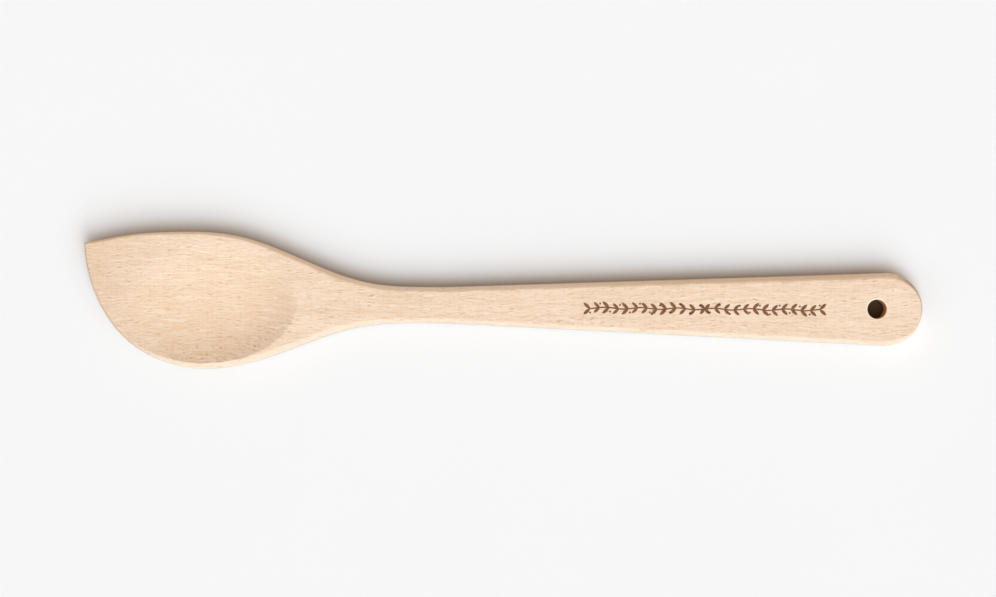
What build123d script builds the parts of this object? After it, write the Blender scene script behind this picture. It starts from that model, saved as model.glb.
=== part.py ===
from build123d import *
from math import asin, atan, comb, cos, degrees, sin
import os

# Overall sizes, in millimetres
overall_length = 300.0
board_thickness = 9.0

# Head, with its reach to either side of the handle's axis
head_length = 122.0
crown_reach = 25.3
belly_reach = 23.55

# Neck and handle
neck_width = 13.0
neck_arc_radius = 360.0
handle_end_width = 26.1

# Hanging hole
hole_diameter = 6.8
hole_setback = 16.3
hole_rim_radius = 0.4

# Dish, measured where it meets the flat of the face
dish_length = 67.8
dish_width = 44.6
dish_depth = 3.8
dish_setback = 42.7
dish_offset = 0.5

# Border of the head, thinned from the back: its thickness at the crown's widest point and at the tip
crown_thickness = 5.0
tip_thickness = 4.3

# Face of the head: how far it falls away at the front, and over what length
face_fall = 1.3
face_fall_run = 24.0

# Rounded edges
face_edge_radius = 1.8
back_edge_radius = 2.2

# One overrun for every cut
overrun = 6.0

# Head outline: shares of the head's length from the tip, and of the swell beyond the neck's own half width
tip_share = 0.834
crown_side_shares = [(0.086, 0.883), (0.287, 1.0), (0.44, 0.944), (0.841, 0.063)]
belly_side_shares = [(0.051, -0.289), (0.136, 0.462), (0.34, 1.0), (0.593, 0.625), (0.779, 0.15)]
crown_side_heading_shares = (1.0, 0.65)
belly_side_heading_shares = (0.008, -1.0)

# Back of the head, in even steps from the front to the neck: shares of its crosswise and lengthwise lift
crosswise_shares = [0.3, 2.0, 0.0, 0.0]
lengthwise_shares = [1.0, 0.0, 0.0, 0.0]

# A rounded edge takes no more than this share of the border's thickness
face_edge_share = 0.43
back_edge_share = 0.53

# The origin lies under the middle of the spoon, so the handle's axis runs a little to one side of it
tip_x = -overall_length / 2
end_x = overall_length / 2
neck_x = tip_x + head_length
axis_y = (belly_reach - crown_reach) / 2
middle_z = board_thickness / 2
tip_reach = tip_share * crown_reach
tip_point = (tip_x, axis_y + tip_reach)

# Handle: a long arc out of the neck on either side, then straight sides that touch the round end
neck_reach = neck_width / 2
end_radius = handle_end_width / 2
end_centre_x = end_x - end_radius
handle_run = end_centre_x - neck_x
arc_centre_reach = neck_reach + neck_arc_radius
centre_distance = (handle_run**2 + arc_centre_reach**2) ** 0.5
side_angle = asin((neck_arc_radius + end_radius) / centre_distance) - atan(arc_centre_reach / handle_run)
straight_x = neck_x + neck_arc_radius * sin(side_angle)
straight_reach = arc_centre_reach - neck_arc_radius * cos(side_angle)
round_x = end_centre_x - end_radius * sin(side_angle)
round_reach = end_radius * cos(side_angle)


def head_points(shares, reach, side):
    """Outline points of one side of the head, from the tip towards the neck."""
    points = []
    for along, across in shares:
        y = axis_y + side * (neck_reach + across * (reach - neck_reach))
        points.append((tip_x + along * head_length, y))
    return points


def heading(shares, reach):
    """Direction in which one side of the head leaves the tip."""
    return (shares[0] * head_length, shares[1] * reach)


def follows_outline(edge):
    """True for the long edges along the outline, and not for seams across it or upright corners."""
    return edge.bounding_box().size.X > neck_reach


# Envelope of the back: level under the neck and handle, lifting to the sides and the front of the head
blank_height = board_thickness + 2 * overrun
front_x = tip_x - overrun
level_x = neck_x + neck_reach
half_span = max(crown_reach, belly_reach) + overrun
last_row = len(crosswise_shares) - 1
row_step = (level_x - front_x) / last_row


def blend(shares, x):
    """What a set of shares comes to at a place along the head."""
    along = (x - front_x) / (level_x - front_x)
    total = 0
    for row, share in enumerate(shares):
        total += share * comb(last_row, row) * along**row * (1 - along) ** (last_row - row)
    return total


crown_x = tip_x + crown_side_shares[1][0] * head_length
crown_lift = board_thickness - crown_thickness
tip_lift = board_thickness - face_fall - tip_thickness
crown_across = blend(crosswise_shares, crown_x) * (crown_reach / half_span) ** 2
tip_across = blend(crosswise_shares, tip_x) * (tip_reach / half_span) ** 2
crown_along = blend(lengthwise_shares, crown_x)
tip_along = blend(lengthwise_shares, tip_x)
balance = crown_along * tip_across - tip_along * crown_across
lengthwise_lift = (crown_lift * tip_across - tip_lift * crown_across) / balance
crosswise_lift = (crown_along * tip_lift - tip_along * crown_lift) / balance

back_rows = []
for row, (across, along) in enumerate(zip(crosswise_shares, lengthwise_shares)):
    row_x = front_x + row * row_step
    lift = across * crosswise_lift
    rise = along * lengthwise_lift
    belly_side = (row_x, axis_y - half_span, rise + lift)
    keel = (row_x, axis_y, rise - lift)
    crown_side = (row_x, axis_y + half_span, rise + lift)
    back_rows.append([belly_side, keel, crown_side])

with BuildPart() as back_envelope:
    extrude(Face.make_bezier_surface(back_rows), amount=blank_height, dir=(0, 0, 1))
    with BuildSketch(Plane.YZ.offset(level_x)):
        with Locations((axis_y, 0)):
            Rectangle(2 * half_span, blank_height, align=(Align.CENTER, Align.MIN))
    extrude(amount=end_x + overrun - level_x)

# Envelope of the face: level, then falling away towards the front in one long arc
fall_x = tip_x + face_fall_run
fall_radius = (face_fall_run**2 + face_fall**2) / (2 * face_fall)
fall_angle = degrees(asin((face_fall_run + overrun) / fall_radius))

with BuildPart() as face_envelope:
    with BuildSketch(Plane.XZ.offset(-half_span)):
        with BuildLine():
            level = Line((end_x + overrun, board_thickness), (fall_x, board_thickness))
            fall = JernArc(level @ 1, level % 1, fall_radius, fall_angle)
            Polyline(fall @ 1, (front_x, -overrun), (end_x + overrun, -overrun), level @ 0)
        make_face()
    extrude(amount=2 * half_span)

# Dish: a shallow hollow turned about an axis across the head, with its own curve in either direction
dish_x = tip_x + dish_setback
dish_y = axis_y + dish_offset
dish_floor = board_thickness - dish_depth
dish_long_radius = (dish_length**2 / 4 + dish_depth**2) / (2 * dish_depth)
dish_cross_radius = (dish_width**2 / 4 + dish_depth**2) / (2 * dish_depth)
turning_axis = Axis((dish_x, dish_y, dish_floor + dish_long_radius), (0, 1, 0))

with BuildPart() as dish:
    with BuildSketch(Plane.YZ.offset(dish_x)):
        with Locations((dish_y, dish_floor + dish_cross_radius)):
            Circle(dish_cross_radius)
        with Locations((dish_y, dish_floor)):
            Rectangle(
                2 * dish_width,
                dish_depth + overrun,
                align=(Align.CENTER, Align.MIN),
                mode=Mode.INTERSECT,
            )
    revolve(axis=turning_axis)

thinnest_border = min(crown_thickness, tip_thickness)
face_radius = min(face_edge_radius, face_edge_share * thinnest_border)
back_radius = min(back_edge_radius, back_edge_share * thinnest_border)

with BuildPart() as spoon:
    # Blank with the plan outline: crown side, handle and round end, then the belly side
    with BuildSketch(Plane.XY.offset(-overrun)):
        with BuildLine():
            crown_neck = (neck_x, axis_y + neck_reach)
            Spline(
                [tip_point] + head_points(crown_side_shares, crown_reach, 1) + [crown_neck],
                tangents=[heading(crown_side_heading_shares, crown_reach), (1, 0)],
                tangent_scalars=[1, 1],
            )
            TangentArc(crown_neck, (straight_x, axis_y + straight_reach), tangent=(1, 0))
            crown_edge = Line((straight_x, axis_y + straight_reach), (round_x, axis_y + round_reach))
            TangentArc(crown_edge @ 1, (round_x, axis_y - round_reach), tangent=crown_edge % 1)
            belly_neck = (neck_x, axis_y - neck_reach)
            Spline(
                [tip_point] + head_points(belly_side_shares, belly_reach, -1) + [belly_neck],
                tangents=[heading(belly_side_heading_shares, belly_reach), (1, 0)],
                tangent_scalars=[1, 1],
            )
            TangentArc(belly_neck, (straight_x, axis_y - straight_reach), tangent=(1, 0))
            Line((straight_x, axis_y - straight_reach), (round_x, axis_y - round_reach))
        make_face()
    extrude(amount=board_thickness + overrun)

    # Carved back and face, with softened borders all round but at the upright corner of the tip
    add(back_envelope.part, mode=Mode.INTERSECT)
    add(face_envelope.part, mode=Mode.INTERSECT)
    borders = spoon.edges().filter_by(follows_outline)
    fillet(borders.filter_by_position(Axis.Z, middle_z, board_thickness), radius=face_radius)
    borders = spoon.edges().filter_by(follows_outline)
    fillet(borders.filter_by_position(Axis.Z, -overrun, middle_z), radius=back_radius)

    # Dish, cut last so that its rim runs out over the softened border on the belly side
    add(dish.part, mode=Mode.SUBTRACT)

    # Hanging hole with a softened rim on both faces
    with Locations((end_x - hole_setback, axis_y, board_thickness)):
        Hole(hole_diameter / 2)
    fillet(spoon.edges(Select.LAST).filter_by(GeomType.CIRCLE), radius=hole_rim_radius)

os.makedirs("parts", exist_ok=True)
spoon.part.label = "spoon"
export_step(spoon.part, "parts/spoon.step")
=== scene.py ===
import math
import bmesh
import bpy
import numpy as np
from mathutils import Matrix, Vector
from mathutils.kdtree import KDTree


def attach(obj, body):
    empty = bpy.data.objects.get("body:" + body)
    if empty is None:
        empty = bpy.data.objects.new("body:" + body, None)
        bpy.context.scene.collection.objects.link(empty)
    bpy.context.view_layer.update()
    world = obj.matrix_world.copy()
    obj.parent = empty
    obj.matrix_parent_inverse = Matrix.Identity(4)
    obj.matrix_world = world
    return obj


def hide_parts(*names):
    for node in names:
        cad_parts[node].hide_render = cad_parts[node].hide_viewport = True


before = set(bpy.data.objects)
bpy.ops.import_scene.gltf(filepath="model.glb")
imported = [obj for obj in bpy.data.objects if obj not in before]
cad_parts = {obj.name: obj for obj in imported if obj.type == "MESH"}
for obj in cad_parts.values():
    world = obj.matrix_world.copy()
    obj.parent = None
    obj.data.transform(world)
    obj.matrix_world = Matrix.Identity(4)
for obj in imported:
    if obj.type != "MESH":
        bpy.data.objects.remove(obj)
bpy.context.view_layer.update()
mm = 0.001
print("frame loaded:", sorted(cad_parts))


# Camera: straight down on the spoon, rolled by a hair
view = {
    "lookAt": (-1.70, 1.62),  # the point under the lens, mm
    "height": 957.0, "topOfBoard": 9.0,
    "mmAcross": 355.6,  # width seen at the board's face
    "roll": 0.551,  # degrees
    "sensor": 36.0, "clipStart": 0.01,
}
cameraData = bpy.data.cameras.new("camera")
cameraData.sensor_width = view["sensor"]
cameraData.lens = view["sensor"] * (view["height"] - view["topOfBoard"]) / view["mmAcross"]
cameraData.clip_start = view["clipStart"]
camera = bpy.data.objects.new("camera", cameraData)
camera.location = (view["lookAt"][0] * mm, view["lookAt"][1] * mm, view["height"] * mm)
camera.rotation_euler = (0, 0, math.radians(view["roll"]))
bpy.context.scene.collection.objects.link(camera)
bpy.context.scene.camera = camera


# Spoon: sizes in millimetres, in the frame's own axes, with its head towards -X
spoon = {
    "length": 300.0, "thickness": 9.0, "headLength": 122.0,
    "crownReach": 25.3, "bellyReach": 23.55,  # to either side of the handle's axis
    "tipShare": 0.834, "neckWidth": 13.0, "neckArc": 360.0, "endWidth": 26.1,
    # Head's outline: (share of its length, share of the swell beyond the neck's half width)
    "crownSide": [(0.086, 0.883), (0.287, 1.0), (0.44, 0.944), (0.841, 0.063)],
    "bellySide": [(0.051, -0.289), (0.136, 0.462), (0.34, 1.0), (0.593, 0.625), (0.779, 0.15)],
    "crownHeading": (1.0, 0.65), "bellyHeading": (0.008, -1.0),
    "hole": 6.8, "holeSetback": 16.3, "holeRim": 0.4,
    "dishLength": 67.8, "dishWidth": 44.6, "dishDepth": 3.8, "dishSetback": 42.7, "dishOffset": 0.5,
    "dishLean": (0.65, 0.72),  # how much deeper the dish is towards the neck, and towards the belly side
    "leanLimits": (-0.8, 1.0),
    "dishShare": 0.72,  # share of the dish's full depth that was carved out
    "faceFall": 1.3, "faceFallRun": 24.0,
    "sanded": 0.03,  # the face was sanded this far below the board's thickness
    # Back of the head, which lifts between these two places
    "frontX": -156.0, "levelX": -21.5, "halfSpan": 31.3,
    "crosswise": [0.3, 2.0, 0.0, 0.0], "lengthwise": [1.0, 0.0, 0.0, 0.0],
    "crosswiseLift": 4.850, "lengthwiseLift": 2.6201,
    "backEdge": 2.2,  # softened edge of the back
}
# Softened edge of the face
softEdge = {
    # Shapes on either side and at the front: (share of the width, slope in degrees)
    "crownShape": [(0.0, 78.0), (0.08, 52.0), (0.2, 33.0), (1.0, 21.0)],
    "bellyShape": [(0.0, 76.0), (0.08, 52.0), (0.25, 38.0), (0.6, 25.0), (1.0, 17.0)],
    "frontShape": [(0.0, 82.0), (0.3, 66.0), (1.0, 40.0)],
    # Widths: (place along the spoon, width)
    "crownWidths": [
        (-150, 0.75), (-136, 1.0), (-105, 1.1), (-84, 1.45), (-70, 1.7), (-55, 1.85), (-30, 1.9),
        (60, 2.0), (134, 2.25), (142, 1.8), (147, 1.1), (150, 0.6),
    ],
    "bellyWidths": [
        (-150, 0.7), (-138, 0.8), (-130, 1.3), (-120, 1.9), (-100, 2.15), (-62, 2.1), (-35, 1.65),
        (134, 1.55), (142, 1.35), (147, 0.8), (150, 0.6),
    ],
    "wander": [(0.05, 0.31, 1.3), (0.04, 0.83, 0.0), (0.03, 2.1, 0.0)],  # hand-made: (share, turns, start)
    # Places between which one shape turns into the next
    "frontToBelly": (-136, -124), "crownToEnd": (140, 146), "bellyToEnd": (146, 149.5), "betweenSides": (145, 150),
    "samples": 200,
}
# Dish's lip: rounding at the neck side and at the front, and where the one turns into the other
lip = {"crisp": 0.05, "soft": 1.4, "run": 30.0, "acrossFrom": -6.0, "acrossRun": 16.0}

tipX, endX = -spoon["length"] / 2, spoon["length"] / 2
neckX = tipX + spoon["headLength"]
axisY = (spoon["bellyReach"] - spoon["crownReach"]) / 2
neckReach = spoon["neckWidth"] / 2
holeX = endX - spoon["holeSetback"]
atHole = spoon["hole"] / 2
dishX, dishY = tipX + spoon["dishSetback"], axisY + spoon["dishOffset"]
faceZ = spoon["thickness"] - spoon["sanded"]


# Smooth curve through all the points, with a set heading at either end
def smoothCurve(points, startWay, endWay, count):
    p = np.array(points, float)
    h = np.hypot(*np.diff(p, axis=0).T)
    n = len(p)
    a, b = np.eye(n), np.zeros((n, 2))
    b[0] = np.array(startWay) / np.hypot(*startWay)
    b[-1] = np.array(endWay) / np.hypot(*endWay)
    for i in range(1, n - 1):
        a[i, i - 1], a[i, i], a[i, i + 1] = h[i], 2 * (h[i - 1] + h[i]), h[i - 1]
        b[i] = 3 * (h[i] * (p[i] - p[i - 1]) / h[i - 1] + h[i - 1] * (p[i + 1] - p[i]) / h[i])
    slopes = np.linalg.solve(a, b)
    stops = np.concatenate([[0], np.cumsum(h)])
    out = []
    for t in np.linspace(0, stops[-1], count):
        i = min(np.searchsorted(stops, t, side="right") - 1, n - 2)
        u = (t - stops[i]) / h[i]
        out.append((2 * u**3 - 3 * u**2 + 1) * p[i] + (u**3 - 2 * u**2 + u) * h[i] * slopes[i]
                   + (3 * u**2 - 2 * u**3) * p[i + 1] + (u**3 - u**2) * h[i] * slopes[i + 1])
    return np.array(out)


def headSide(shares, reach, side):
    return [(tipX + along * spoon["headLength"], axisY + side * (neckReach + across * (reach - neckReach)))
            for along, across in shares]


# Handle: a long arc out of the neck, a straight side, and the round end
endRadius = spoon["endWidth"] / 2
endCentre = endX - endRadius
run, arcCentre = endCentre - neckX, neckReach + spoon["neckArc"]
sideAngle = math.asin((spoon["neckArc"] + endRadius) / math.hypot(run, arcCentre)) - math.atan(arcCentre / run)


def handleSide(side):
    arc = [(neckX + spoon["neckArc"] * math.sin(a), axisY + side * (arcCentre - spoon["neckArc"] * math.cos(a)))
           for a in np.linspace(0, sideAngle, 40)]
    turn = [(endCentre - endRadius * math.sin(a), axisY + side * endRadius * math.cos(a))
            for a in np.linspace(sideAngle, -math.pi / 2, 160)]
    return arc[1:] + turn


tip = (tipX, axisY + spoon["tipShare"] * spoon["crownReach"])
sideLines = {}
for name, side in (("crown", 1), ("belly", -1)):
    reach, heading = spoon[name + "Reach"], spoon[name + "Heading"]
    points = [tip] + headSide(spoon[name + "Side"], reach, side) + [(neckX, axisY + side * neckReach)]
    way = (heading[0] * spoon["headLength"], heading[1] * reach)
    sideLines[name] = np.vstack([smoothCurve(points, way, (1, 0), 900), handleSide(side)])


def lengthsAlong(line):
    return np.concatenate([[0], np.cumsum(np.hypot(*np.diff(line, axis=0).T))])


def resample(line, count):
    along = lengthsAlong(line)
    stops = np.linspace(0, along[-1], count)
    return np.column_stack([np.interp(stops, along, line[:, i]) for i in (0, 1)])


def spaced(line, step):
    return resample(line, max(2, round(lengthsAlong(line)[-1] / step) + 1))


# Every place on the outline, close together, with the softened edge's width and shape there
outlineStep = 0.04
crownPoints, bellyPoints = (spaced(sideLines[name], outlineStep) for name in ("crown", "belly"))
outline = np.vstack([crownPoints, bellyPoints])
crownX, bellyX = crownPoints[:, 0], bellyPoints[:, 0]
widths = np.concatenate([np.interp(crownX, *np.array(softEdge["crownWidths"]).T),
                         np.interp(bellyX, *np.array(softEdge["bellyWidths"]).T)])
widths = widths * (1 + sum(share * np.sin(outline[:, 0] * turns + start) for share, turns, start in softEdge["wander"]))
toFront = np.concatenate([
    np.interp(crownX, softEdge["crownToEnd"], (0, 1)),
    np.maximum(np.interp(bellyX, softEdge["frontToBelly"], (1, 0)), np.interp(bellyX, softEdge["bellyToEnd"], (0, 1))),
])
toBelly = np.concatenate([np.interp(crownX, softEdge["betweenSides"], (0, 0.5)),
                          np.interp(bellyX, softEdge["betweenSides"], (1, 0.5))])
tree = KDTree(len(outline))
for i, (x, y) in enumerate(outline):
    tree.insert((x, y, 0), i)
tree.balance()


# Distance in from the outline, and which place on the outline is nearest
def fromEdge(xy):
    found = [tree.find((x, y, 0)) for x, y in xy]
    return np.array([f[2] for f in found]), np.array([f[1] for f in found])


# Each shape's slopes, added up from the inside out to give the drop
edgeStops = np.linspace(0, 1, softEdge["samples"] + 1)
edgeDrops = {}
for shape in ("crownShape", "bellyShape", "frontShape"):
    slopes = np.tan(np.radians(np.interp(edgeStops, *np.array(softEdge[shape]).T)))
    steps = (slopes[:-1] + slopes[1:])[::-1]
    edgeDrops[shape] = np.append(np.cumsum(steps)[::-1] / (2 * softEdge["samples"]), 0)


def edgeDrop(d, near):
    crown, belly, front = (np.interp(d / widths[near], edgeStops, drops) for drops in edgeDrops.values())
    sides = crown + (belly - crown) * toBelly[near]
    return widths[near] * (sides + (front - sides) * toFront[near])


# Face, falling away towards the front in one long arc
def softFace(xy, d, near):
    radius = (spoon["faceFallRun"] ** 2 + spoon["faceFall"] ** 2) / (2 * spoon["faceFall"])
    into = np.maximum(tipX + spoon["faceFallRun"] - xy[:, 0], 0)
    return faceZ - (radius - np.sqrt(radius**2 - into**2)) - edgeDrop(d, near)


# Dish: a hollow turned about an axis across the head, then leaned
def dishHeight(xy):
    deep = spoon["dishDepth"]
    floor = spoon["thickness"] - deep
    longRadius = (spoon["dishLength"] ** 2 / 4 + deep**2) / (2 * deep)
    crossRadius = (spoon["dishWidth"] ** 2 / 4 + deep**2) / (2 * deep)
    across = np.minimum(np.abs(xy[:, 1] - dishY), crossRadius)
    reach = longRadius - (crossRadius - np.sqrt(crossRadius**2 - across**2))
    plain = floor + longRadius - np.sqrt(np.maximum(reach**2 - (xy[:, 0] - dishX) ** 2, 0))
    along = (xy[:, 0] - dishX) / spoon["dishLength"] * 2
    aside = (dishY - xy[:, 1]) / spoon["dishWidth"] * 2
    lean = np.clip(along * spoon["dishLean"][0] + aside * spoon["dishLean"][1], *spoon["leanLimits"])
    return faceZ - (faceZ - plain) * (1 + lean) * spoon["dishShare"]


# Whichever of face and dish is lower, with a rounded lip between them
def topHeight(xy, d=None, near=None):
    if d is None:
        d, near = fromEdge(xy)
    outer, dish = softFace(xy, d, near), dishHeight(xy)
    ahead = np.clip((dishX - xy[:, 0]) / lip["run"], 0, 1)
    ahead = ahead * np.clip((xy[:, 1] - lip["acrossFrom"]) / lip["acrossRun"], 0, 1)
    k = lip["crisp"] + (lip["soft"] - lip["crisp"]) * ahead * ahead * (3 - 2 * ahead)
    h = np.clip(0.5 + 0.5 * (outer - dish) / k, 0, 1)
    return outer * (1 - h) + dish * h - k * h * (1 - h)


# Back: level under the neck and handle, lifting to the sides and the front of the head
def backHeight(xy, d=None, near=None):
    if d is None:
        d, near = fromEdge(xy)
    u = np.clip((xy[:, 0] - spoon["frontX"]) / (spoon["levelX"] - spoon["frontX"]), 0, 1)
    lift, rise = (sum(share * math.comb(3, i) * u**i * (1 - u) ** (3 - i) for i, share in enumerate(spoon[way]))
                  * spoon[way + "Lift"] for way in ("crosswise", "lengthwise"))
    across = (xy[:, 1] - axisY) / spoon["halfSpan"]
    radius = spoon["backEdge"]
    drop = radius - np.sqrt(radius**2 - (radius - np.minimum(d, radius)) ** 2)
    return rise + lift * across**2 + drop


# Mesh: rings round the dish and round the hole, and a plain grid along the handle between them
layout = {
    "headCut": -64.0, "endCut": 121.0,  # where one layout meets the next
    "nearEdge": np.array([0, 0.07, 0.2, 0.4, 0.65, 0.95, 1.2, 1.45, 1.65, 1.85, 2.05, 2.4]),
    "nearBackEdge": np.array([0, 0.08, 0.25, 0.5, 0.8, 1.15, 1.5, 1.85, 2.2, 2.7]),
    "nearLip": np.array([0, 0.1, 0.25, 0.5, 0.9]), "lipRoom": 1.2,
    "nearHole": np.array([0, 0.3, 0.8]), "rimAngles": (18, 36, 54, 72, 90), "holeSteps": 7,
    "columns": 186, "columnMiddle": 13, "narrow": 4.5,
    "around": 480, "crownShare": 0.44, "border": 12, "bisections": 26,  # points and rings of the head
    "inDish": [480] * 16 + [240] * 12 + [120] * 8 + [60] * 5 + [30] * 3,
    "onBack": [480] * 4 + [240] * 10 + [120] * 6 + [60] * 3,
    "roundEnd": 150, "besideHole": 7,
    "wall": (0.12, 0.35, 0.65, 0.88, 1.0),
}
headCut, endCut = layout["headCut"], layout["endCut"]
nearEdge, nearLip, nearBackEdge = layout["nearEdge"], layout["nearLip"], layout["nearBackEdge"]
vertices, faces = [], []


def addPoints(xy, z):
    start = len(vertices)
    vertices.extend(zip(xy[:, 0], xy[:, 1], z))
    return np.arange(start, len(vertices))


# Faces between two rings or rows; the second may have half as many points
def bridge(a, b, closed=True):
    if len(b) == len(a):
        faces.extend((a[i], b[i], b[(i + 1) % len(b)], a[(i + 1) % len(a)]) for i in range(len(a) - (not closed)))
        return
    n = len(b)
    for i in range(n):
        p, q, r = a[2 * i], a[2 * i + 1], a[(2 * i + 2) % len(a)]
        faces.extend([(p, b[i], q), (q, b[i], b[(i + 1) % n]), (q, b[(i + 1) % n], r)])


# A column of places from the crown side to the belly side
def across(x):
    hi, lo = (np.interp(x, *sideLines[name].T) for name in ("crown", "belly"))
    half = (hi - lo) / 2
    edge = nearEdge * min(1, half / layout["narrow"])
    middle = np.linspace(edge[-1], 2 * half - edge[-1], layout["columnMiddle"])[1:-1]
    steps = np.concatenate([edge, middle, (2 * half - edge)[::-1]])
    return np.column_stack([np.full(len(steps), x), hi - steps])


# A stretch of one side's outline, ending exactly where the columns do
def sideBetween(name, x0, x1):
    fine = spaced(sideLines[name], 0.05)
    start, stop = (np.argmax(fine[:, 0] > x) if x > tipX else 0 for x in (x0, x1))
    piece = fine[start:stop if stop > start else len(fine)].copy()
    end = 0 if name == "crown" else -1
    if x0 > tipX:
        piece[0] = across(x0)[end]
    if x1 < endX:
        piece[-1] = across(x1)[end]
    return piece


# Distances over a stretch: close together at both ends, even between
def shellPositions(room, nearStart, nearStop, middle):
    k = np.minimum(1, room / (nearStart[-1] + nearStop[-1] + 0.6))
    first = [k * v for v in nearStart]
    last = [room - k * v for v in nearStop[::-1]]
    between = [first[-1] + (last[0] - first[-1]) * t for t in np.linspace(0, 1, middle + 2)[1:-1]]
    return first + between + last


# Rays from the middle of the dish to the head's border: round the tip, then back across at the cut
cutHead, cutEnd = across(headCut), across(endCut)
aroundHead = layout["around"] - (len(cutHead) - 1)
crownCount = round(aroundHead * layout["crownShare"])
headBorder = np.vstack([
    resample(sideBetween("crown", tipX, headCut)[::-1], crownCount + 1)[:-1],
    resample(sideBetween("belly", tipX, headCut), aroundHead - crownCount + 1)[:-1],
    cutHead[::-1][:-1],
])
centre = np.array([dishX, dishY])
ways = headBorder - centre
lengths = np.hypot(*ways.T)
ways = ways / lengths[:, None]
onOutline = np.arange(len(headBorder)) <= aroundHead
low, high = lengths * 0.3, lengths.copy()
for step in range(layout["bisections"]):  # where the dish meets the face, on each ray
    half = (low + high) / 2
    places = centre + ways * half[:, None]
    inside = dishHeight(places) < softFace(places, *fromEdge(places))
    low, high = np.where(inside, half, low), np.where(inside, high, half)
toLip = (low + high) / 2
gap = lengths - toLip


def headRing(distance, height, atBorder=False):
    xy = centre + ways * distance[:, None]
    d, near = fromEdge(xy)
    if atBorder:
        xy, d = headBorder, np.where(onOutline, 0, d)
    return addPoints(xy, height(xy, d, near))


# Rings that close in on the middle, with fewer and fewer points, and one point to close them
def closeInwards(previous, distances, counts, height):
    for distance, count in zip(distances, counts):
        xy = (centre + ways * distance[:, None])[::len(ways) // count]
        ring = addPoints(xy, height(xy))
        bridge(previous, ring)
        previous = ring
    pole = addPoints(centre[None], height(centre[None]))[0]
    faces.extend((previous[i], pole, previous[(i + 1) % len(previous)]) for i in range(len(previous)))


offsets = shellPositions(gap, nearLip, nearEdge, layout["border"])
rings = [headRing(toLip + offset, topHeight, i == len(offsets) - 1) for i, offset in enumerate(offsets)]
for a, b in zip(rings[:-1], rings[1:]):
    bridge(b, a)
atLip, headTop = rings[0], rings[-1]
underLip = [toLip - v * np.minimum(1, gap / layout["lipRoom"]) for v in nearLip[1:]]
shares = np.linspace(1, 0.02, len(layout["inDish"]) - len(underLip) + 1)[1:]
closeInwards(atLip, underLip + [underLip[-1] * share for share in shares], layout["inDish"], topHeight)

previous = headBack = headRing(lengths, backHeight, True)
for offset in nearBackEdge[1:]:
    ring = headRing(lengths - offset, backHeight)
    bridge(previous, ring)
    previous = ring
backCounts = layout["onBack"]
shares = [1 - (i + 1) / (len(backCounts) + 0.6) for i in range(len(backCounts))]
closeInwards(previous, [(lengths - nearBackEdge[-1]) * share for share in shares], backCounts, backHeight)
print("head laid out:", len(vertices), "points")

# Handle
columns = [across(x) for x in np.linspace(headCut, endCut, layout["columns"])]
handleEnds = {}
for height in (topHeight, backHeight):
    rows = []
    for column in columns:
        d, near = fromEdge(column)
        d[0] = d[-1] = 0
        rows.append(addPoints(column, height(column, d, near)))
    for a, b in zip(rows[:-1], rows[1:]):
        bridge(a, b, closed=False)
    handleEnds[height] = np.array([(row[0], row[-1]) for row in rows])
print("handle laid out:", len(vertices), "points")

# Round end, with the hanging hole
endArc = np.vstack([sideBetween("crown", endCut, endX), sideBetween("belly", endCut, endX)[::-1][1:]])
endBorder = np.vstack([resample(endArc, layout["roundEnd"] + 1)[:-1], cutEnd[::-1][:-1]])
holeCentre = np.array([holeX, axisY])
holeWays = endBorder - holeCentre
holeLengths = np.hypot(*holeWays.T)
holeWays = holeWays / holeLengths[:, None]
rim = spoon["holeRim"]
endRings, holeRings = {}, {}
for height, edges, level, inward in ((topHeight, nearEdge, faceZ, -1), (backHeight, nearBackEdge, 0.0, 1)):
    room = holeLengths - atHole - rim
    for distance in shellPositions(room, layout["nearHole"], edges, layout["besideHole"])[::-1]:
        atBorder = height not in endRings
        xy = endBorder if atBorder else holeCentre + holeWays * (atHole + rim + distance)[:, None]
        d, near = fromEdge(xy)
        if atBorder:
            d[:layout["roundEnd"] + 1] = 0
        ring = addPoints(xy, height(xy, d, near))
        if atBorder:
            endRings[height] = ring
        else:
            bridge(previous, ring)
        previous = ring
    for a in np.radians(layout["rimAngles"]):
        xy = holeCentre + holeWays * (atHole + rim * (1 - math.sin(a)))
        ring = addPoints(xy, np.full(len(xy), level + inward * rim * (1 - math.cos(a))))
        bridge(previous, ring)
        previous = ring
    holeRings[height] = previous
previous, below = holeRings[topHeight], holeRings[backHeight]
xy = np.array([vertices[i][:2] for i in previous])
for share in np.linspace(0, 1, layout["holeSteps"] + 1)[1:]:
    z = faceZ - rim + (2 * rim - faceZ) * share
    ring = below if share == 1 else addPoints(xy, np.full(len(xy), z))
    bridge(previous, ring)
    previous = ring


# Upright wall between the two softened edges
def wall(top, back):
    previous = top
    upper, lower = (np.array([vertices[i] for i in ring]) for ring in (top, back))
    for share in layout["wall"]:
        points = upper + (lower - upper) * share
        ring = back if share == 1.0 else addPoints(points[:, :2], points[:, 2])
        bridge(previous, ring, closed=False)
        previous = ring


wall(headTop[:aroundHead + 1], headBack[:aroundHead + 1])
for end in (0, 1):
    wall(handleEnds[topHeight][:, end], handleEnds[backHeight][:, end])
wall(endRings[topHeight][:layout["roundEnd"] + 1], endRings[backHeight][:layout["roundEnd"] + 1])

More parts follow.
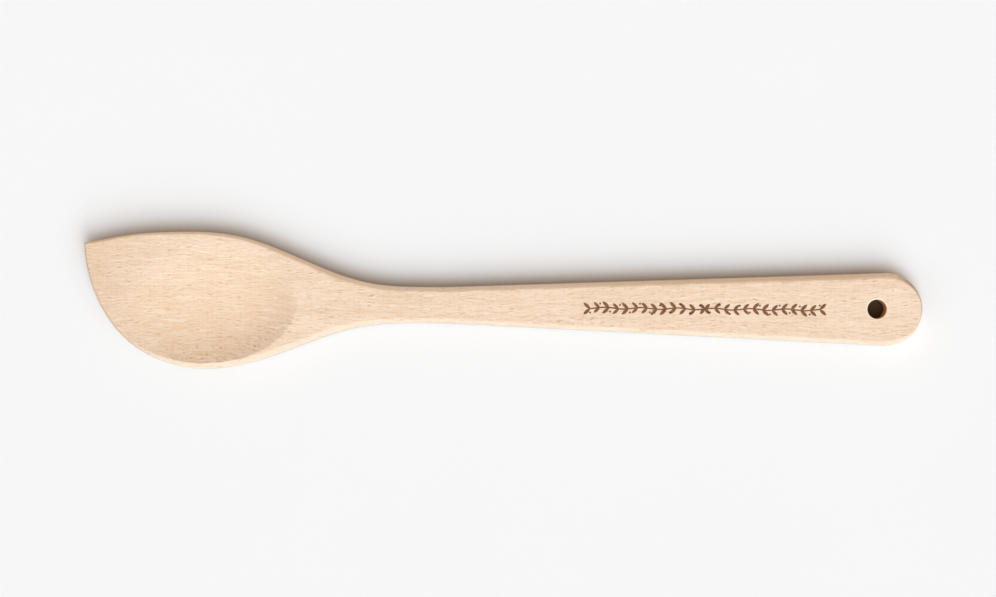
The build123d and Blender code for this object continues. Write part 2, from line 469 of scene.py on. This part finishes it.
spoonMesh = bpy.data.meshes.new("spoonBoard")
spoonMesh.from_pydata([(x * mm, y * mm, z * mm) for x, y, z in vertices], [],
                      [tuple(int(i) for i in face) for face in faces])
work = bmesh.new()
work.from_mesh(spoonMesh)
bmesh.ops.remove_doubles(work, verts=work.verts, dist=2e-6)
bmesh.ops.dissolve_degenerate(work, edges=work.edges, dist=1e-6)
bmesh.ops.recalc_face_normals(work, faces=work.faces)
for edge in work.edges:  # the pointed corner stays sharp from top to bottom
    if all(math.hypot(v.co.x / mm - tip[0], v.co.y / mm - tip[1]) < 0.02 for v in edge.verts):
        edge.smooth = False
for face in work.faces:
    face.smooth = True
print("spoon board:", len(work.verts), "points,", sum(len(face.verts) - 2 for face in work.faces), "triangles,",
      sum(not edge.is_manifold for edge in work.edges), "open edges")
work.to_mesh(spoonMesh)
work.free()

# Two values kept on the mesh for the wood: how far in from the outline, and how far the softened edge has dropped
points = np.array([v.co for v in spoonMesh.vertices]) / mm
d, near = fromEdge(points[:, :2])
for name, values in (("edgeShare", np.clip(d / widths[near], 0, 1)), ("edgeDrop", edgeDrop(d, near))):
    spoonMesh.attributes.new(name, "FLOAT", "POINT").data.foreach_set("value", values.astype(np.float32))
board = bpy.data.objects.new("carvedSpoon", spoonMesh)
bpy.context.scene.collection.objects.link(board)


# Node trees written as expressions
class Wire:
    def __init__(self, tree, socket):
        self.tree, self.socket = tree, socket

    def maths(self, operation, *values):
        return self.tree.add("ShaderNodeMath", {"operation": operation}, dict(enumerate(values)))

    def __add__(self, other): return self.maths("ADD", self, other)
    def __sub__(self, other): return self.maths("SUBTRACT", self, other)
    def __rsub__(self, other): return self.maths("SUBTRACT", other, self)
    def __mul__(self, other): return self.maths("MULTIPLY", self, other)
    def __truediv__(self, other): return self.maths("DIVIDE", self, other)
    def __rtruediv__(self, other): return self.maths("DIVIDE", other, self)
    def __pow__(self, other): return self.maths("POWER", self, other)
    def __rpow__(self, other): return self.maths("POWER", other, self)
    __radd__, __rmul__ = __add__, __mul__

    def largest(self, other): return self.maths("MAXIMUM", self, other)
    def above(self, other): return self.maths("GREATER_THAN", self, other)
    def modulo(self, other): return self.maths("MODULO", self, other)
    def own(self, operation): return self.maths(operation, self)

    def ramp(self, low, high, bottom=0.0, top=1.0):
        return self.tree.add("ShaderNodeMapRange", {"interpolation_type": "SMOOTHSTEP", "clamp": True},
                             {"Value": self, "From Min": low, "From Max": high, "To Min": bottom, "To Max": top})


class Tree:
    def __init__(self, tree):
        self.nodes, self.links = tree.nodes, tree.links

    def add(self, kind, settings, inputs, output=0):
        node = self.nodes.new(kind)
        for key, value in settings.items():
            setattr(node, key, value)
        for key, value in inputs.items():
            for one in value if isinstance(value, list) else [value]:
                if isinstance(one, Wire):
                    self.links.new(one.socket, node.inputs[key])
                else:
                    node.inputs[key].default_value = one
        return Wire(self, node.outputs[output])

    def joined(self, x, y, z):
        return self.add("ShaderNodeCombineXYZ", {}, {0: x, 1: y, 2: z})

    def parted(self, vector):
        return [self.add("ShaderNodeSeparateXYZ", {}, {0: vector}, i) for i in range(3)]


class Shade(Tree):
    def __init__(self, name):
        self.material = bpy.data.materials.new(name)
        self.material.use_nodes = True
        super().__init__(self.material.node_tree)
        self.skin = self.nodes["Principled BSDF"]

    def mix(self, factor, a, b):
        inputs = {0: factor, 6: a if isinstance(a, Wire) else (*a, 1), 7: b if isinstance(b, Wire) else (*b, 1)}
        return self.add("ShaderNodeMix", {"data_type": "RGBA", "clamp_result": False}, inputs, 2)

    def place(self):
        return [part * 1000 for part in self.parted(self.add("ShaderNodeTexCoord", {}, {}, 3))]  # millimetres

    def facing(self):
        return self.parted(self.add("ShaderNodeNewGeometry", {}, {}, "Normal"))

    def kept(self, name):
        return self.add("ShaderNodeAttribute", {"attribute_name": name}, {}, "Fac")

    def noise(self, x, y, z, detail, roughness):
        return self.add("ShaderNodeTexNoise", {}, {
            "Vector": self.joined(x, y, z), "Scale": 1.0, "Detail": detail, "Roughness": roughness})

    def bump(self, height, strength, distance):
        return self.add("ShaderNodeBump", {}, {"Strength": strength, "Distance": distance, "Height": height})

    def give(self, name, value):
        if isinstance(value, Wire):
            self.links.new(value.socket, self.skin.inputs[name])
        else:
            self.skin.inputs[name].default_value = value


def colour(r, g, b):
    return tuple((c / 255 / 12.92) if c < 10.3 else ((c / 255 + 0.055) / 1.055) ** 2.4 for c in (r, g, b))


# Beech: peachy ground, wavy fibres, short darker flecks that run with the grain and turn where the face is carved; some
# of its tones are painted shade and painted highlights
beech = {
    "ground": colour(246, 220, 194), "warm": colour(241, 212, 183), "pale": colour(254, 235, 213),
    "fleck": colour(205, 156, 109), "fibre": colour(224, 187, 152), "glint": colour(255, 243, 226),
    "handled": colour(226, 192, 166), "deep": colour(238, 203, 166), "dusk": colour(229, 200, 177),
    "cutTone": colour(192, 134, 86), "side": colour(226, 184, 142), "endSide": colour(176, 134, 98),
    "brownEdge": colour(238, 208, 176), "paleEdge": colour(243, 228, 208),
    "bareEdge": colour(246, 230, 212), "bareRim": colour(250, 242, 230), "burntWall": colour(226, 174, 112),
    "boldFleck": (3.6, 0.5), "smallFleck": (1.7, 0.36), "cutFleck": (2.1, 0.8),  # length and height, mm
    "sheetLength": 2.4, "fleckTilt": 0.5, "cutSlant": 0.34,
    "waveReach": 3.4, "driftReach": 1.7,  # how far the grain wanders, mm
    "specular": 0.3, "bumpStrength": 0.35, "bumpDistance": 0.00008,
}
shade = Shade("beech")
x, y, z = shade.place()
facing = shade.facing()
edgeIn, dropped = shade.kept("edgeShare"), shade.kept("edgeDrop")
layer = y + (z + dropped) * beech["fleckTilt"]  # the flecks are thin sheets that lean through the board
wave = shade.noise(x * 0.05, layer * 0.14, z * 0.05, 2.0, 0.5)
drift = shade.noise(x * 0.2 + 7, layer * 0.5, z * 0.2, 1.0, 0.5)
grainY = layer + (wave - 0.5) * beech["waveReach"] + (drift - 0.5) * beech["driftReach"]


def flecks(size, seed, row, weak, strong, rarest=0.35):
    cell = shade.joined(x / size[0] + seed, row / size[1], z / beech["sheetLength"] + seed)
    near, tint = (shade.add("ShaderNodeTexVoronoi", {"feature": "F1"},
                            {"Vector": cell, "Scale": 1.0, "Randomness": 1.0}, i) for i in range(2))
    pick = shade.add("ShaderNodeSeparateColor", {}, {0: tint}, 0)
    return near.ramp(strong, weak, 1.0, 0.0) * pick.ramp(rarest, 1.0)


carved = facing[1].ramp(0.10, 0.30) * z.ramp(8.9, 8.2)  # the steep side of the dish cuts across the sheets
bold = flecks(beech["boldFleck"], 3.0, grainY, 0.48, 0.10)
# painted highlight: a pale copy of each bold fleck, set just beside it
paintedFleckHighlight = flecks(beech["boldFleck"], 3.0, grainY + 0.36, 0.5, 0.15)
small = flecks(beech["smallFleck"], 11.0, grainY, 0.5, 0.1)
cut = flecks(beech["cutFleck"], 27.0, y + x * beech["cutSlant"], 0.44, 0.16, 0.2) * carved
streak = shade.noise(x * 0.10, grainY * 2.3, z * 0.5, 1.0, 0.5)
fibre = shade.noise(x * 0.5, grainY * 3.1 + 5, z * 0.7, 1.6, 0.6)
broad = shade.noise(x * 0.025, layer * 0.11, z * 0.1, 3.0, 0.55)
speck = shade.noise(x * 1.8, grainY * 4.8, z * 2, 1.5, 0.6)

# Regions of the spoon that the layers below are limited to
flatOfDish = (facing[1].ramp(-0.12, -0.06) - facing[1].ramp(0.06, 0.12)) * z.ramp(8.7, 8.0)
neckSideOfDish = facing[0].ramp(-0.06, -0.24) * z.ramp(8.95, 8.6)
onEdge = edgeIn.ramp(1.0, 0.93)
atSides = x.ramp(-134, -122) * x.ramp(149, 144) * facing[2].ramp(0.12, 0.3)
headAndHandle = x.ramp(-50, -64).largest(x.ramp(-20, 90))
upright = facing[2].ramp(0.62, 0.36) * facing[2].ramp(0.03, 0.12)
roundEnd = x.ramp(140, 147) * facing[1].ramp(-0.35, 0.0) * facing[2].ramp(0.78, 0.5)
fromHole = ((x - holeX) ** 2.0 + (y - axisY) ** 2.0) ** 0.5

# Layers from the ground up: where and how strongly, and which colour
tone = shade.mix(broad.ramp(0.32, 0.68), beech["warm"], beech["ground"])
for share, name in (
    # painted shade: darker towards the pointed tip
    (x.ramp(-124, -142) * broad.ramp(0.3, 0.6, 0.1, 0.5), "handled"),
    # painted shade: darker deeper in the dish and on its flat bottom
    (z.ramp(8.8, 7.4) * 0.4 + flatOfDish * 0.2, "deep"),
    # painted shade on the dish's neck-side slope
    (neckSideOfDish * 0.3, "dusk"),
    (streak.ramp(0.50, 0.72) * 0.55, "pale"),
    (streak.ramp(0.48, 0.28) * 0.42, "fibre"),
    (fibre.ramp(0.50, 0.72) * 0.36, "pale"),
    (fibre.ramp(0.48, 0.28) * 0.40, "fibre"),
    (speck.ramp(0.54, 0.72) * 0.32, "fibre"),
    # painted highlight beside each bold fleck
    (paintedFleckHighlight * 0.4, "glint"),
    (small * 0.46, "fleck"),
    (bold * (0.72 - carved * 0.4), "fleck"),
    (cut * 0.75, "cutTone"),
    # Softened edge: painted shade, smoother and browner, on the crown side, painted highlight, paler, on the belly
    # side, and painted sheen at the outline
    # painted shade on the crown side's softened edge
    (onEdge * facing[1].ramp(0.1, 0.3) * 0.5, "brownEdge"),
    # painted shade: darker towards the outline on the crown side
    (edgeIn.ramp(1.0, 0.45) * facing[1].ramp(0.1, 0.35) * (headAndHandle * 0.5), "side"),
    # painted highlight on the belly side's softened edge
    (onEdge * facing[1].ramp(-0.12, -0.28) * atSides * 0.3, "paleEdge"),
    # painted sheen: paler towards the outline on the crown side
    (edgeIn.ramp(0.62, 0.1) * atSides * facing[1].ramp(0.0, 0.3) * x.ramp(-20, 90, 0.42, 0.24), "bareEdge"),
    # painted sheen all round the outline, most on the belly side
    (edgeIn.ramp(0.45, 0.05) * atSides * facing[1].ramp(-0.3, 0.3, 0.36, 0.24), "bareRim"),
    # painted shade on the steep band of the softened edge, all round
    (upright * (1 - edgeIn.ramp(0.0, 0.1) * atSides), "side"),
    # painted shade on the round end's steep edge, away from the belly side
    (roundEnd * 0.75, "endSide"),
    # Hanging hole: a painted highlight round the rim, and a browned wall
    (fromHole.ramp(atHole + 0.7, atHole + 0.3) * 0.65, "glint"),
    (fromHole.ramp(atHole + 0.12, atHole) * (0.8 + fibre * 0.3), "burntWall"),
):
    tone = shade.mix(share, tone, beech[name])
shade.give("Base Color", tone)
shade.give("Roughness", 0.44 + fibre * 0.12 - bold * 0.06)
shade.give("Specular IOR Level", beech["specular"])
relief = streak * 0.5 + fibre * 0.5 + speck * 0.2 - bold * 0.8 - small * 0.35
shade.give("Normal", shade.bump(relief, beech["bumpStrength"], beech["bumpDistance"]))
spoonMesh.materials.append(shade.material)
print("beech ready:", len(shade.nodes), "nodes")


# Leaf sprig burnt into the handle's face: a waving stem with pairs of leaves that lean away from the middle
sprig = {
    "middle": (72.2, -1.43), "length": 82.0, "waveHeight": 0.28, "waveLength": 13.0,  # mm
    "stemWidth": 0.5, "stemPoints": 120, "stemTaper": 0.6,
    "leafEvery": 3.3, "leafLength": 3.1, "leafWidth": 1.2, "lean": 42.0, "leafCorners": 18, "leafPoint": 0.45,
    "growth": (0.88, 1.06), "seed": 4,  # smallest and largest leaf
    "berry": 0.38, "berryReach": 1.4, "berryCorners": 14, "petals": 4, "petalLength": 0.8,
    "line": 0.03, "sunk": 0.012,  # thickness of the burnt line, and how much of it lies in the wood
    "burnt": colour(116, 76, 50), "singed": colour(148, 103, 72),
    "specular": 0.25, "bumpStrength": 0.3, "bumpDistance": 0.00005,
}
burntLine = Shade("burntLine")
x, y, z = burntLine.place()
along = burntLine.noise(x * 0.5, y * 2.6, z, 2.0, 0.6)
fine = burntLine.noise(x * 2.0, y * 5.0, z + 3, 1.0, 0.5)
tone = burntLine.mix(along.ramp(0.35, 0.68), sprig["burnt"], sprig["singed"])
burntLine.give("Base Color", burntLine.mix(fine.ramp(0.5, 0.7) * 0.3, tone, sprig["singed"]))
burntLine.give("Roughness", 0.68 + fine * 0.15)
burntLine.give("Specular IOR Level", sprig["specular"])
burntLine.give("Normal", burntLine.bump(along + fine * 0.5, sprig["bumpStrength"], sprig["bumpDistance"]))

# The group's inputs: (value, kind of socket)
lowest = faceZ - sprig["sunk"]
sprigInputs = {
    "Length": sprig["length"] * mm, "Wave Height": sprig["waveHeight"] * mm, "Wave Length": sprig["waveLength"] * mm,
    "Stem Width": sprig["stemWidth"] * mm, "Leaf Every": sprig["leafEvery"] * mm,
    "Leaf Length": sprig["leafLength"] * mm, "Leaf Width": sprig["leafWidth"] * mm,
    "Lean": math.radians(sprig["lean"]), "Berry": sprig["berry"] * mm, "Berry Reach": sprig["berryReach"] * mm,
    "Line": sprig["line"] * mm, "Seed": sprig["seed"],
    "Middle": (sprig["middle"][0] * mm, sprig["middle"][1] * mm, lowest * mm),
}
socketKinds = {float: "NodeSocketFloat", int: "NodeSocketInt", tuple: "NodeSocketVector"}
sprigNodes = bpy.data.node_groups.new("burntSprig", "GeometryNodeTree")
sprigNodes.interface.new_socket("Geometry", in_out="OUTPUT", socket_type="NodeSocketGeometry")
sprigSockets = {
    name: sprigNodes.interface.new_socket(name, in_out="INPUT", socket_type=socketKinds[type(value)])
    for name, value in sprigInputs.items()
}
shape = Tree(sprigNodes)
groupInput = sprigNodes.nodes.new("NodeGroupInput")
given = {name: Wire(shape, groupInput.outputs[name]) for name in sprigSockets}
pi = math.pi


def position():
    return shape.parted(shape.add("GeometryNodeInputPosition", {}, {}))


# A flat closed curve filled and thickened into a thin plate
def plate(curve):
    flat = shape.add("GeometryNodeFillCurve", {"mode": "NGONS"}, {0: curve})
    raised = shape.add("GeometryNodeExtrudeMesh", {"mode": "FACES"},
                       {"Mesh": flat, "Offset Scale": given["Line"], "Individual": False})
    under = shape.add("GeometryNodeFlipFaces", {}, {"Mesh": flat})
    both = shape.add("GeometryNodeJoinGeometry", {}, {0: [raised, under]})
    return shape.add("GeometryNodeMergeByDistance", {}, {"Geometry": both, "Distance": 1e-6})


def disc(corners, radius):
    return shape.add("GeometryNodeCurvePrimitiveCircle", {"mode": "RADIUS"}, {"Resolution": corners, "Radius": radius})


halfLength = given["Length"] / 2
straight = shape.add("GeometryNodeCurvePrimitiveLine", {}, {
    "Start": shape.joined(0 - halfLength, 0.0, 0.0), "End": shape.joined(halfLength, 0.0, 0.0)})


def stemWith(count):
    points = shape.add("GeometryNodeResampleCurve", {"mode": "COUNT"}, {"Curve": straight, "Count": count})
    x, y, z = position()
    lift = (x / given["Wave Length"] * 2 * pi).own("SINE") * given["Wave Height"]
    return shape.add("GeometryNodeSetPosition", {}, {"Geometry": points, "Offset": shape.joined(0.0, lift, 0.0)})


# Stem, thinner towards its ends
x, y, z = position()
taper = 1.0 - (x / halfLength) ** 2.0 * sprig["stemTaper"]
stem = shape.add("GeometryNodeSetCurveRadius", {}, {"Curve": stemWith(sprig["stemPoints"]), "Radius": taper})
stem = shape.add("GeometryNodeSetCurveNormal", {"mode": "Z_UP"}, {"Curve": stem})
ribbon = shape.add("GeometryNodeCurvePrimitiveQuadrilateral", {"mode": "RECTANGLE"},
                   {"Width": given["Stem Width"], "Height": given["Line"]})
parts = [shape.add("GeometryNodeCurveToMesh", {}, {"Curve": stem, "Profile Curve": ribbon, "Fill Caps": True})]

# Leaf: a circle drawn out to two points, its base on the stem
x, y, z = position()
fullness = y.own("ABSOLUTE") ** sprig["leafPoint"]
leafPlace = shape.joined((x + 1) * given["Leaf Length"] / 2, y * fullness * given["Leaf Width"] / 2, 0.0)
leaf = plate(shape.add("GeometryNodeSetPosition", {}, {
    "Geometry": disc(sprig["leafCorners"], 1.0), "Position": leafPlace}))

pairs = ((given["Length"] / given["Leaf Every"]) / 2).own("FLOOR")
leafPoints = stemWith(pairs * 2 + 1)
x, y, z = position()
turn = pi / 2 - x.own("SIGN") * (pi / 2 - given["Lean"])
growth = shape.add("FunctionNodeRandomValue", {"data_type": "FLOAT"},
                   {2: sprig["growth"][0], 3: sprig["growth"][1], "Seed": given["Seed"]}, 1)
offMiddle = x.own("ABSOLUTE").above(given["Leaf Every"] * 0.5)
for hand in (1, -1):
    parts.append(shape.add("GeometryNodeInstanceOnPoints", {}, {
        "Points": leafPoints, "Selection": offMiddle, "Instance": leaf,
        "Rotation": shape.joined(0.0, 0.0, turn * hand), "Scale": shape.joined(growth, growth, 1.0)}))

# Berries, above and below the stem by turns, midway between the leaves
byTurns = shape.add("GeometryNodeInputIndex", {}, {}).modulo(2) * 2 - 1
berryPoints = shape.add("GeometryNodeSetPosition", {}, {
    "Geometry": stemWith(pairs * 2), "Offset": shape.joined(0.0, byTurns * given["Berry Reach"], 0.0)})
parts.append(shape.add("GeometryNodeInstanceOnPoints", {}, {
    "Points": berryPoints, "Instance": plate(disc(sprig["berryCorners"], given["Berry"]))}))

# Petals in the middle
centrePoint = shape.add("GeometryNodePoints", {}, {"Count": 1, "Position": (0, 0, 0)})
for petal in range(sprig["petals"]):
    parts.append(shape.add("GeometryNodeInstanceOnPoints", {}, {
        "Points": centrePoint, "Instance": leaf, "Rotation": (0, 0, (petal + 0.5) * 2 * pi / sprig["petals"]),
        "Scale": (sprig["petalLength"], 1.0, 1.0)}))

whole = shape.add("GeometryNodeJoinGeometry", {}, {0: parts})
whole = shape.add("GeometryNodeTransform", {}, {"Geometry": whole, "Translation": given["Middle"]})
whole = shape.add("GeometryNodeRealizeInstances", {}, {"Geometry": whole})
whole = shape.add("GeometryNodeSetMaterial", {}, {"Geometry": whole, "Material": burntLine.material})
sprigNodes.links.new(whole.socket, sprigNodes.nodes.new("NodeGroupOutput").inputs[0])

sprigMaker = bpy.data.objects.new("sprigMaker", bpy.data.meshes.new("sprigSeed"))
bpy.context.scene.collection.objects.link(sprigMaker)
modifier = sprigMaker.modifiers.new("sprig", "NODES")
modifier.node_group = sprigNodes
for name, value in sprigInputs.items():
    modifier[sprigSockets[name].identifier] = value
ready = sprigMaker.evaluated_get(bpy.context.evaluated_depsgraph_get())
sprigPiece = bpy.data.objects.new("burntSprig", bpy.data.meshes.new_from_object(ready))
bpy.context.scene.collection.objects.link(sprigPiece)
bpy.data.objects.remove(sprigMaker)
print("sprig burnt in:", len(sprigPiece.data.polygons), "faces, top at",
      round(max(v.co.z for v in sprigPiece.data.vertices) / mm, 3), "mm")

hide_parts("spoon")
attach(board, "root")
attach(sprigPiece, "root")


# Stage: pale floor, a broad soft light along the belly side, warm light from everywhere
stage = {
    "floor": (0.945, 0.945, 0.945), "floorReach": 4.0, "floorDrop": 0.00005,  # metres
    "floorBounce": (0.06, 0.055, 0.05), "endBounce": (0.9, 0.93, 0.95),  # what it throws back at the wood
    "mottled": 0.994,  # how much darker the floor gets in places
    "shadeUnderHole": colour(88, 74, 60), "backdrop": (0.94, 0.94, 0.945),
    # Azimuth, elevation, and share of the light
    "keys": [(-86, 72, 0.46), (-30, 40, 0.10), (-152, 40, 0.07), (-72, 54, 0.15), (-72, 35, 0.22)],
    "keyAngle": 40.0, "keyLight": (0.64, 0.725, 0.79),  # what a level face gets from them all
    "allRound": (0.35, 0.265, 0.20),
}
reach = stage["floorReach"]
floorMesh = bpy.data.meshes.new("floor")
floorMesh.from_pydata([(-reach, -reach, 0), (reach, -reach, 0), (reach, reach, 0), (-reach, reach, 0)], [],
                      [(0, 1, 2, 3)])
floor = bpy.data.objects.new("floor", floorMesh)
floor.location.z = -stage["floorDrop"]
bpy.context.scene.collection.objects.link(floor)
paper = Shade("paper")


def seen(tree):
    camera, glossy, through = (tree.add("ShaderNodeLightPath", {}, {}, name)
                               for name in ("Is Camera Ray", "Is Glossy Ray", "Is Transmission Ray"))
    return camera.largest(glossy).largest(through)


x, y, z = paper.place()
mottle = paper.noise(x * 0.01, y * 0.01, z, 2.0, 0.5).ramp(0.3, 0.7, stage["mottled"], 1.0)
paleFloor = paper.mix(mottle, (0, 0, 0), stage["floor"])
towardsEnds = x.ramp(130, 148).largest(x.ramp(-45, -95) * 0.5)
bounce = paper.mix(towardsEnds, stage["floorBounce"], stage["endBounce"])
paleFloor = paper.mix(seen(paper), bounce, paleFloor)
underHole = (((x - holeX) ** 2.0 + (y - axisY) ** 2.0) ** 0.5).ramp(atHole + 1.4, atHole + 0.6)
paper.give("Base Color", paper.mix(underHole, paleFloor, stage["shadeUnderHole"]))
paper.give("Roughness", 0.9)
paper.give("Specular IOR Level", 0.0)
floorMesh.materials.append(paper.material)

strongest = max(stage["keyLight"])
for i, (azimuth, elevation, share) in enumerate(stage["keys"]):
    turned, up = math.radians(azimuth), math.radians(elevation)
    toLight = Vector((math.cos(up) * math.cos(turned), math.cos(up) * math.sin(turned), math.sin(up)))
    keyData = bpy.data.lights.new("key%d" % i, "SUN")
    keyData.angle = math.radians(stage["keyAngle"])
    keyData.color = [c / strongest for c in stage["keyLight"]]
    keyData.energy = strongest * share * pi / math.sin(up)
    key = bpy.data.objects.new("key%d" % i, keyData)
    key.rotation_euler = toLight.to_track_quat("Z", "Y").to_euler()
    bpy.context.scene.collection.objects.link(key)

world = bpy.data.worlds.new("studio")
world.use_nodes = True
bpy.context.scene.world = world
sky = Tree(world.node_tree)
allRound = sky.add("ShaderNodeBackground", {}, {"Color": (*stage["allRound"], 1), "Strength": 1.0})
backdrop = sky.add("ShaderNodeBackground", {}, {"Color": (*stage["backdrop"], 1), "Strength": 1.0})
choose = sky.add("ShaderNodeMixShader", {}, {0: seen(sky), 1: allRound, 2: backdrop})
sky.links.new(choose.socket, sky.nodes["World Output"].inputs["Surface"])

bpy.context.scene.view_settings.view_transform = "Standard"
print("stage ready")
